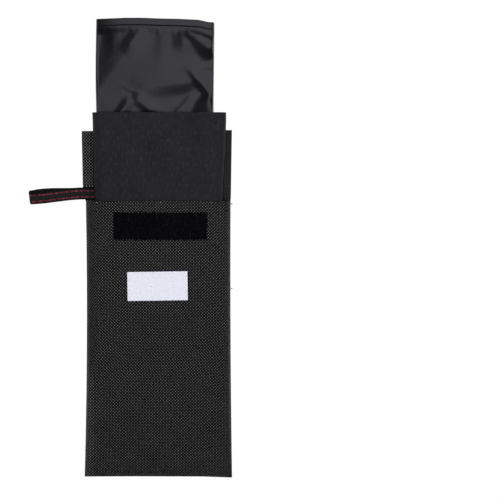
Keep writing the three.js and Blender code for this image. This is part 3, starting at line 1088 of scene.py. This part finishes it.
def bag_folds(x, y):
    """The folds' height. The steep side lies to the right of a walk along each crest."""
    total = bag_ripple * ripples(x, y, bag_ripple_size, seed=5)
    for shares, sizes in zip(fold_shares, fold_sizes):
        start, end = bag_point(*shares[:2]), bag_point(*shares[2:4])
        length = np.linalg.norm(end - start)
        ahead = (end - start) / length
        dx, dy = x - start[0], y - start[1]
        side = dx * ahead[1] - dy * ahead[0]
        run = (dx * ahead[0] + dy * ahead[1]) / length
        inside = np.clip(run, -overrun_share, 1 + overrun_share)
        height, steep = between(sizes[[0, 2]], sizes[[1, 3]], inside)
        width = np.where(side > 0, np.maximum(steep, least_width), sizes[4])
        fades = smooth(run, -shares[4], shares[4]) * (1 - smooth(run, 1 - shares[5], 1 + shares[5]))
        total = total + height * fades * tent(np.abs(side) / width)
    return total


print(len(fold_shares), "folds over", round(shown_length, 4), "of the bag")

# %% Bag
bag_ply, bag_spacing = 0.3 * mm, 0.75 * mm
bag_lip, bag_seam = 0.4 * mm, 0.3 * mm
bag_flat, bag_taper = 2 * mm, 44 * mm
bag_girth = 88 * mm
bag_back_low, bag_back_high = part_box("bag_back")
bag_front_end, bag_back_end = bag_high.y - 0.25 * mm, bag_high.y - 3.2 * mm
bag_hem_radius, bag_hem_narrow = 0.18 * mm, 0.45 * mm
bag_hem = bag_high.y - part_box("bag_front_hem")[0].y
hem_rise, hem_droop = 3.5 * mm, 1.6 * mm
hem_blend_start, hem_blend_end = -0.5 * mm, 6.5 * mm
pucker_height, pucker_length, pucker_reach = 0.15 * mm, 4.7 * mm, 3.5 * mm
pucker_drift, drift_size = 2 * mm, 24 * mm
bag_sag, bag_settle = 4.4 * mm, 0.4 * mm
sag_free_start, sag_free_end = sleeve_high.y - 22 * mm, sleeve_high.y - 4 * mm
shown_start, shown_end = sleeve_high.y - 30 * mm, sleeve_high.y - 2 * mm
belly_full, belly_fading = sleeve_high.y + 22 * mm, sleeve_high.y + 30 * mm
left_ease, belly_ease = 0.3 * mm, 0.4 * mm
right_ease, lean_ease = 0.25 * mm, 0.5 * mm
bag_tuck = 3 * mm
hidden_shoulders = ((6 * mm, 2.0), (3 * mm, 2.2))
shown_shoulders = ((1.4 * mm, 2.2), (1.6 * mm, 2.2))
top_shares = (0, 0.12, 0.25, 0.4, 0.54, 0.71, 0.88, 0.965, 1)
top_rises = np.array((-0.6, -0.3, 0.1, 0.08, -0.38, -0.62, -1.25, -2.7, -2.8)) * mm
top_blend_start, top_blend_end = bag_high.y - 26 * mm, bag_high.y - 3 * mm
bag_anchor, bag_below_mouth = 75 * mm, 1.5 * mm
bag_sunk = sunk_by(bag_anchor, bag_high.y, bag_below_mouth)


def bag_relief(x, y):
    """The sagging crown with its folds, which the stiff hem bridges. Inside the sleeve it lies flat."""
    below_hem = bag_high.y - bag_hem - y
    drifting = x + pucker_drift * ripples(x, y, drift_size, seed=9)
    puckers = np.sin(drifting * math.tau / pucker_length) * np.exp(-(below_hem / pucker_reach) ** 2)
    across = 2 * (x - bag_low.x) / bag_width - 1
    hem = hem_rise - hem_droop * across ** 4
    loose = smooth(below_hem, hem_blend_start, hem_blend_end)
    total = (bag_folds(x, y) + pucker_height * puckers) * loose + hem * (1 - loose)
    return smooth(y, sag_free_start, sag_free_end) * (total - bag_sag) - bag_settle


def bag_shown(y):
    """From 0 where the sleeve hides the bag to 1 where it is drawn out."""
    return smooth(y, shown_start, shown_end)


def bag_edges(y):
    """The bag's sides. The left one bellies out, and inside the sleeve it tucks in."""
    shown = bag_shown(y)
    belly = smooth(y, sleeve_high.y, belly_full) - smooth(y, belly_fading, bag_high.y)
    lean = smooth(y, sleeve_high.y, bag_high.y)
    left = bag_low.x - (left_ease + belly_ease * belly) * shown + bag_tuck * (1 - shown)
    return left, bag_high.x + (right_ease + lean_ease * lean) * shown


def bag_shoulders(y):
    """Firm shoulders where the bag shows. Inside the sleeve the left one is soft."""
    return [between(*pair, bag_shown(y)) for pair in zip(hidden_shoulders, shown_shoulders)]


def bag_height(y):
    return (bag_high.z - bag_back_high.z - bag_lip) * end_rise(y, bag_low.y, bag_flat, bag_taper)


def bag_top(rows):
    """The cloth's top edge isn't straight: it dips to the right."""
    share = np.clip((rows[..., 0] - bag_low.x) / bag_width, 0, 1)
    near = smooth(rows[..., 1], top_blend_start, top_blend_end)
    rows[..., 1] += np.interp(share, top_shares, top_rises) * near
    return rows


bag_rows = shell(
    shell_stations(bag_low.y, bag_front_end, bag_lip, bag_taper, bag_spacing),
    bag_edges, bag_back_high.z, bag_lip, bag_seam, bag_shoulders,
    bag_height, bag_relief, even_shares(bag_girth, bag_spacing, bag_ply),
)
bag_hemmed = turned(bag_top(bag_rows), bag_hem_radius, bag_hem, bag_spacing, 1, bag_hem_narrow)
bag_front = cloth(
    "bag_front", bag_hemmed, bag_finish,
    0, bag_ply, bag_ply, "bag", ["bag_front", "bag_front_hem"],
)
bag_back = flat_panel(
    "bag_back", bag_edges, bag_low.y, bag_back_end, bag_back_low.z, bag_back_high.z,
    bag_finish, "bag", ["bag_back", "bag_back_hem"], bag_hem,
)
sink_sheets((bag_front, bag_back), *bag_sunk)

# %% [markdown]
# ## Sewing on the label and the closure
# A piece that is sewn on follows the cloth under it, so its points are dropped straight down onto the
# front before it gets its thickness. The label is bare: only its weave and its stitches show. The
# loop half of the closure is a tape with a pile of tiny loops, and the hook half a tape with rows of
# bent hooks. Both piles are real geometry, because their soft outline shows.

# %% Pieces laid on a cloth
patch_half, patch_spacing = 0.2 * mm, 1 * mm
label_turn, label_inset = math.radians(0.8), 0.25 * mm


def patch_rows(under, centre, width, depth, turn):
    """Rows of a rectangle laid on another piece, half its thickness above it."""
    rows = []
    for down in steps(depth, patch_spacing, patch_half) - depth / 2:
        row = []
        for across in steps(width, patch_spacing, patch_half) - width / 2:
            x = centre[0] + across * math.cos(turn) - down * math.sin(turn)
            y = centre[1] + across * math.sin(turn) + down * math.cos(turn)
            point, out = drop(under, x, y)
            row.append(point + out * patch_half)
        rows.append(row)
    return np.array(rows)


def sewn_patch(name, node, under, finish, body, turn=0.0, inset=0):
    """A piece sewn flat on another, in the middle of its solid. Gives its rows, for the stitches."""
    low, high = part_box(node)
    size, centre = high - low, (low + high) / 2
    rows = patch_rows(under, centre, size.x - 2 * inset, size.y - 2 * inset, turn)
    made, cut_size = cloth(name, rows, finish, patch_half, patch_half, patch_half, body, [node])
    return rows


label_rows = sewn_patch("label", "label", "pouch_front", label_finish, "pouch", label_turn, label_inset)
loop_rows = sewn_patch("loop_tape", "loop_patch", "pouch_front", pile_finish, "pouch")
hook_rows = sewn_patch("hook_tape", "hook_strip", "flap_lid", hook_finish, "flap_lid")

# %% Loops and hooks
loop_count, loop_lean = 3600, 0.5
loop_sizes = (0.35 * mm, 0.75 * mm)
across_shares, down_shares = (0.004, 1.002), (-0.015, 1.015)
hook_pitch, hook_size, hook_lift = 1.5 * mm, 0.4 * mm, 0.28 * mm
# radius of the wire as a share of its bend's, sides of the wire, angle of the bend, steps round it
loop_bend, hook_bend = (0.16, 3, math.pi, 5), (0.2, 4, math.pi * 1.35, 7)


def bent_wire(radius, sides, turn, segments):
    """A wire bent round part of a circle one unit in radius that stands on the ground."""
    pattern = bmesh.new()
    ring = bmesh.ops.create_circle(pattern, cap_ends=True, segments=sides, radius=radius)["verts"]
    bmesh.ops.translate(pattern, verts=ring, vec=(1, 0, 0))
    bmesh.ops.spin(
        pattern, geom=pattern.faces[:], cent=(0, 0, 0), axis=(0, -1, 0), angle=turn, steps=segments,
    )
    bmesh.ops.triangulate(pattern, faces=pattern.faces[:])
    bmesh.ops.recalc_face_normals(pattern, faces=pattern.faces[:])
    return pattern


def loop_places(rows, chance):
    """Places spread over a tape, each turned at random and leaning a little."""
    corner, across, down = rows[0, 0], rows[0, -1] - rows[0, 0], rows[-1, 0] - rows[0, 0]
    places = []
    for _ in range(loop_count):
        at = corner + across * chance.uniform(*across_shares) + down * chance.uniform(*down_shares)
        size = chance.uniform(*loop_sizes)
        tip = Matrix.Rotation(chance.gauss(0, loop_lean), 4, "X")
        tip = tip @ Matrix.Rotation(chance.gauss(0, loop_lean), 4, "Y")
        turn = Matrix.Rotation(chance.uniform(0, math.tau), 4, "Z")
        places.append(Matrix.Translation(at) @ turn @ tip @ Matrix.Scale(size, 4))
    return places


def hook_places(chance):
    """Hooks in rows over the hook tape, each facing one way or the other."""
    low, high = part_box("hook_strip")
    places = []
    for x in np.arange(low.x + hook_pitch, high.x - hook_pitch / 2, hook_pitch):
        for y in np.arange(low.y + hook_pitch, high.y - hook_pitch / 2, hook_pitch):
            at = drop("hook_tape", x, y)[0] + Vector((0, 0, hook_lift))
            turn = Matrix.Rotation(math.pi * chance.randint(0, 1), 4, "Z")
            places.append(Matrix.Translation(at) @ turn @ Matrix.Scale(hook_size, 4))
    return places


chance = random.Random(21)
loop_wire, hook_wire = bent_wire(*loop_bend), bent_wire(*hook_bend)
scatter("loop_pile", loop_wire, loop_places(loop_rows, chance), pile_finish, "pouch")
scatter("hooks", hook_wire, hook_places(chance), hook_finish, "flap_lid")

# %% [markdown]
# ## The carrying strap
# A narrow webbing folded into a loop: its two plies are sewn down on the flap behind the sleeve, and
# it turns back on itself at the far end. The plies don't lie exactly on each other, so the rear one
# shows as a thin dark line above the front one. The route is drawn from the side, and the webbing is
# laid along it and shifted within its own plane, with rows close enough for its bend at the tip.

# %% Strap
strap_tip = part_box("strap_loop")[0].x
anchor_low, anchor_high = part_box("strap_anchor")
strap_width, strap_half = 7.5 * mm, 0.25 * mm
strap_row_spacing, strap_column_spacing = 0.3 * mm, 0.4 * mm
strap_drop, rear_shift, end_slant = 3.3 * mm, 2.4 * mm, 0.9 * mm
# The reverse side's map is moved far aside: its stripes vanish and the painted edge shade darkens all of
# it.
strap_reverse = 1.0
root_y = (anchor_low.y + anchor_high.y) / 2 - 0.8 * mm
rest_z = strap_half + 0.1 * mm
tip_radius = 0.5 * mm
tip_x = strap_tip + tip_radius + strap_half
ply_points, tip_points = 130, 9
front_settle_share, rear_settle_share = 0.45, 0.4
root_shift_share, shift_shares = 0.2, (0.1, 0.75)
tip_start, tip_shift_loss, droop_shares = 0.8, 0.3, (-0.05, 1.03)


def strap_ply(x, rear, low, high, settle_share):
    """One ply, sewn down at the high place and settling to the low one. Rear is 0 or 1, for its shift."""
    out = np.clip((anchor_low.x - x) / (anchor_low.x - tip_x), 0, 1)
    z = low + (high - low) * (1 - smooth(out, 0, settle_share))
    return np.stack([x, np.full_like(x, rear), z], axis=1)


def strap_route():
    """Points along the middle of the webbing: out along the front ply, round the tip, back again."""
    x = np.linspace(anchor_high.x, tip_x, ply_points)
    turn = np.linspace(0, math.pi, tip_points)[1:-1]
    tip_z = rest_z + tip_radius * (1 + np.cos(turn))
    tip = np.stack([tip_x - tip_radius * np.sin(turn), turn / math.pi, tip_z], axis=1)
    front = strap_ply(x, 0, rest_z + 2 * tip_radius, anchor_high.z - strap_half, front_settle_share)
    rear = strap_ply(x[::-1], 1, rest_z, anchor_low.z + strap_half, rear_settle_share)
    return np.concatenate([front, tip, rear])


def strap_rows():
    """Rows across the webbing. It droops towards its tip, which is folded at a slight slant."""
    route = strap_route()
    run = np.insert(np.cumsum(np.hypot(np.diff(route[:, 0]), np.diff(route[:, 2]))), 0, 0)
    even = np.linspace(0, run[-1], round(run[-1] / strap_row_spacing))
    x, rear, z = (np.interp(even, run, route[:, axis])[:, None] for axis in range(3))
    out = np.clip((anchor_low.x - x) / (anchor_low.x - strap_tip), 0, 1)
    near_tip = smooth(out, tip_start, 1)
    spread = root_shift_share + (1 - root_shift_share) * smooth(out, *shift_shares)
    aside = rear_shift * rear * (spread - tip_shift_loss * near_tip)
    middle = root_y - strap_drop * smooth(out, *droop_shares) + aside
    across = (steps(strap_width, strap_column_spacing, strap_half) - strap_width / 2)[None]
    slant = -end_slant * near_tip * across / strap_width
    return np.stack([x + slant, middle + across, z + 0 * across], axis=2)


strap, _ = cloth(
    "strap", strap_rows(), webbing_finish, strap_half, strap_half, strap_half,
    nodes=["strap_loop", "strap_anchor"], reverse=strap_reverse,
)
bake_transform(strap)

# %% [markdown]
# ## Sewing thread
# A lockstitch shows as a row of short rounded threads, each pulled a little into the cloth. One small
# ellipsoid is copied along each seam line. The lines follow the pieces that they hold: round the
# label and both tapes, under the bag's hem, along the flap's edges and down the quilted channels.

# %% Stitch tools
line_points = 40
# length of a stitch, gap to the next one, thickness of the thread
label_stitch = (1.5 * mm, 0.5 * mm, 0.2 * mm)
tape_stitch = (2.2 * mm, 0.5 * mm, 0.32 * mm)
edge_stitch = (2.2 * mm, 0.5 * mm, 0.26 * mm)
# Along the mouth the thread is thick and nearly unbroken: a seam, drawn dark and wide as a painted shadow
# line under the mouth's edge.
mouth_seam_and_shadow = (2 * mm, 0.1 * mm, 0.6 * mm)
hem_stitch = (1.9 * mm, 0.6 * mm, 0.24 * mm)
quilt_stitch = (2.4 * mm, 0.6 * mm, 0.24 * mm)


def stitch_places(line, stitch, gap, thread):
    """A matrix for each stitch along a line of points and outward directions."""
    points = np.array([point for point, _ in line])
    outs = np.array([out for _, out in line])
    run = np.insert(np.cumsum(np.linalg.norm(np.diff(points, axis=0), axis=1)), 0, 0)

    def value_at(values, at):
        return Vector([np.interp(at, run, values[:, axis]) for axis in range(3)])

    places = []
    for start in np.arange(gap / 2, run[-1] - stitch, stitch + gap):
        first, last = value_at(points, start), value_at(points, start + stitch)
        out = value_at(outs, start + stitch / 2).normalized()
        ahead = (last - first).normalized()
        turn = Matrix((ahead, out.cross(ahead), out)).transposed().to_4x4()
        shape = Matrix.Diagonal((stitch, thread, thread, 1))
        places.append(Matrix.Translation((first + last) / 2) @ turn @ shape)
    return places


def line_on(under, start, end, count=line_points):
    """A straight seam line dropped onto a piece."""
    places = (between(start, end, share) for share in np.linspace(0, 1, count))
    return [drop(under, *place) for place in places]


def border(rows, inset=5):
    """The four seam lines just inside the edge of a sewn-on rectangle, from its grid."""
    inner = rows[inset:-inset, inset:-inset, :2]
    corners = [inner[0, 0], inner[0, -1], inner[-1, -1], inner[-1, 0], inner[0, 0]]
    return zip(corners, corners[1:])


def sew(name, under, seams, finish, body, stitch, count=line_points):
    """Stitches along straight seams, each given by its two ends, on the piece under them."""
    lines = [line_on(under, *ends, count) for ends in seams]
    return sew_lines(name, lines, finish, body, stitch)


def sew_lines(name, lines, finish, body, stitch):
    places = [place for line in lines for place in stitch_places(line, *stitch)]
    return scatter(name, ball(2), places, finish, body)


print("a straight seam is dropped at", line_points, "points")

# %% Seams
hem_points, hem_below = 90, 0.5 * mm
hem_shares = (0.02, 0.98)
flap_inset, above_crease = 2.6 * mm, 2 * mm
mouth_inset, mouth_below, mouth_points = 1 * mm, 0.15 * mm, 120
bottom_inset, bottom_above, bottom_points = 2 * mm, 3 * mm, 90
quilt_half_gap, quilt_count, quilt_points = 0.7 * mm, 5, 60
side_seam = ((41.6 * mm, sleeve_high.y - 2 * mm), (39.6 * mm, mouth))


def hem_line():
    """Just under the bag's hem, following its uneven top edge."""
    line = []
    for share in np.linspace(*hem_shares, hem_points):
        y = bag_high.y - bag_hem + hem_below + np.interp(share, top_shares, top_rises)
        line.append(drop("bag_front", bag_low.x + share * bag_width, y))
    return line


def flap_seams(start, end):
    """Just inside the flap's side edges and its free edge."""
    left, right = (
        [(flat_edges(y)[side] + inwards * flap_inset, y) for y in (start, end)]
        for side, inwards in enumerate((1, -1))
    )
    return left, right, (left[1], right[1])


def across_pouch(inset, y):
    return [((front_low.x + inset, y), (front_high.x - inset, y))]


def quilt_seams():
    """Between the grain channels and beside the outer two."""
    low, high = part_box("gel_channel_front_1")
    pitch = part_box("gel_channel_front_2")[0].x - low.x
    places = [low.x - quilt_half_gap + pitch * k for k in range(quilt_count)]
    return [((x, low.y), (x, high.y)) for x in places]


sew("label_stitches", "label", border(label_rows), white_thread, "pouch", label_stitch)
sew("loop_tape_stitches", "loop_tape", border(loop_rows), pile_finish, "pouch", tape_stitch)
sew("hook_tape_stitches", "hook_tape", border(hook_rows), black_thread, "flap_lid", tape_stitch)
sink(sew_lines("bag_hem_stitches", [hem_line()], black_thread, "bag", hem_stitch), *bag_sunk)
flap_ends = flap_seams(lid_crease + above_crease, lid_high.y - flap_inset)
sew("flap_lid_stitches", "flap_lid", flap_ends, black_thread, "flap_lid", edge_stitch)
# The mouth's line is partly a seam and partly painted shadow: a dark thread that stands in for the shade
# under the mouth's edge.
for name, seams, stitch, count in (
    ("mouth_edge_stitches", across_pouch(mouth_inset, mouth - mouth_below), mouth_seam_and_shadow, mouth_points),
    ("bottom_stitches", across_pouch(bottom_inset, bottom + bottom_above), edge_stitch, bottom_points),
):
    sew(name, "pouch_front", seams, black_thread, "pouch", stitch, count)
for name, seams in (("quilting_stitches", quilt_seams()), ("sleeve_side_stitches", [side_seam])):
    made = sew(name, "sleeve_front", seams, black_thread, "sleeve", quilt_stitch, quilt_points)
    sink(made, *sleeve_sunk)

# %% [markdown]
# ## Loose ends
# A few pale thread ends stand along the pouch's mouth and some dark ones fray from its right edge, and
# two bits of lint lie on the sleeve. Each is a short bent wire. They are small, but without them the
# edge looks drawn with a ruler.

# %% Thread ends
end_bend, end_tip = (0.16, 5, math.pi * 0.8, 6), 0.9
end_spread = (0.3 * mm, 0.2 * mm)
pale_size, dark_size, lint_size = 0.28 * mm, 0.6 * mm, 0.22 * mm
pale_places = (-40.2 * mm, 1.6 * mm, 35 * mm)
pale_below, pale_lift = 0.9 * mm, 0.2 * mm
dark_downs, dark_height = (2 * mm, 58 * mm), 1.4 * mm
lint_places = ((6.7 * mm, 131.3 * mm), (39 * mm, 140.8 * mm))


def thread_ends(name, spots, finish, size, count, body):
    """A few short bent wires at each spot, turned and tipped at random."""
    chance = random.Random(name)
    places = []
    for spot in spots:
        for _ in range(count):
            turn = Matrix.Rotation(chance.uniform(0, math.tau), 4, "Z")
            tip = Matrix.Rotation(chance.uniform(-end_tip, end_tip), 4, "X")
            shift = Vector([chance.uniform(-reach, reach) for reach in end_spread] + [0])
            places.append(Matrix.Translation(spot + shift) @ turn @ tip @ Matrix.Scale(size, 4))
    return scatter(name, bent_wire(*end_bend), places, finish, body)


def mouth_spot(x):
    point, out = drop("pouch_front", x, mouth - pale_below)
    return point + out * pale_lift


pale_spots = [mouth_spot(x) for x in pale_places]
dark_spots = [Vector((front_high.x, mouth - down, dark_height)) for down in dark_downs]
lint_spots = [drop("sleeve_front", *place)[0] for place in lint_places]
thread_ends("pale_thread_ends", pale_spots, white_thread, pale_size, 3, "pouch")
thread_ends("dark_thread_ends", dark_spots, black_thread, dark_size, 4, "pouch")
sink(thread_ends("sleeve_lint", lint_spots, white_thread, lint_size, 1, "sleeve"), *sleeve_sunk)

# %% [markdown]
# ## The table, the light and the camera
# The case lies on white, seen from straight above. The table is white to the camera and still takes
# the case's shadow: part of what the camera sees there is plain diffuse white, the rest a glow. Two
# large lamps hang over it. One, nearly overhead, gives the even light at which flat cloth renders
# about as its colour is written. The other, up and to the right, shows in reflections alone, and so
# sets the shine on the nylon without making the rest brighter. A dim even surround fills in.

# %% Table
table_half, table_gap = 8, 0.15 * mm
table_light, table_share, table_glow = 0.8, 0.1, 0.93

mesh = bmesh.new()
bmesh.ops.create_grid(mesh, x_segments=1, y_segments=1, size=table_half)
bmesh.ops.translate(mesh, verts=mesh.verts[:], vec=(0, 0, -table_gap))
table_mesh = bpy.data.meshes.new("table_top")
mesh.to_mesh(table_mesh)
mesh.free()
table = bpy.data.objects.new("table_top", table_mesh)
bpy.context.scene.collection.objects.link(table)

table_finish = Finish("table_top", None, 1, 0)
table_mesh.materials.append(table_finish.material)
path = table_finish.node("ShaderNodeLightPath").socket.node
seen = Value(table_finish, path.outputs["Is Camera Ray"])
for ray in ("Is Glossy Ray", "Is Transmission Ray"):
    seen = seen.larger(Value(table_finish, path.outputs[ray]))
table_finish.set({
    "Base Color": table_finish.mix(seen, grey(table_light), grey(table_share)),
    "Emission Color": table_finish.mix(seen, grey(0), grey(table_glow)),
    "Emission Strength": 1,
})
print("table", table_gap, "under the case")

# %% Light
lamp_size = 2.4
surround_strength = 0.12


def area_lamp(name, place, power, shows_in):
    """A square lamp that faces straight down and reaches only the named kind of reflection."""
    lamp = bpy.data.lights.new(name, "AREA")
    lamp.shape = "SQUARE"
    lamp.size = lamp_size
    lamp.energy = power
    made = bpy.data.objects.new(name, lamp)
    made.location = place
    made.visible_camera = False
    made.visible_diffuse = shows_in == "diffuse"
    made.visible_glossy = shows_in == "glossy"
    bpy.context.scene.collection.objects.link(made)
    print(name, "at", place, "with", power, "watts")


area_lamp("overhead_lamp", (0.1, 0.3, 1.9), 48, "diffuse")
area_lamp("sheen_lamp", (0.9, 0.81, 1.7), 43, "glossy")

world = bpy.data.worlds.new("surround")
bpy.context.scene.world = world
world.use_nodes = True
nodes, links = world.node_tree.nodes, world.node_tree.links
background = nodes["Background"]
rays = nodes.new("ShaderNodeLightPath")
strength = nodes.new("ShaderNodeMix")
links.new(rays.outputs["Is Camera Ray"], strength.inputs["Factor"])
strength.inputs["A"].default_value = surround_strength
strength.inputs["B"].default_value = 1
links.new(strength.outputs["Result"], background.inputs["Strength"])
background.inputs["Color"].default_value = (1, 1, 1, 1)
bpy.context.scene.view_settings.view_transform = "Standard"

# %% Camera
view_centre, view_plane = (60.5 * mm, 58.7 * mm), 6 * mm
view_width, view_distance, farthest = 330 * mm, 4, 50
film_width = 36

camera_data = bpy.data.cameras.new("camera")
camera_data.sensor_width = film_width
camera_data.lens = film_width * view_distance / view_width
camera_data.clip_end = farthest
camera = bpy.data.objects.new("camera", camera_data)
camera.location = (*view_centre, view_plane + view_distance)
bpy.context.scene.collection.objects.link(camera)
bpy.context.scene.camera = camera
print("camera", view_distance, "above the case")
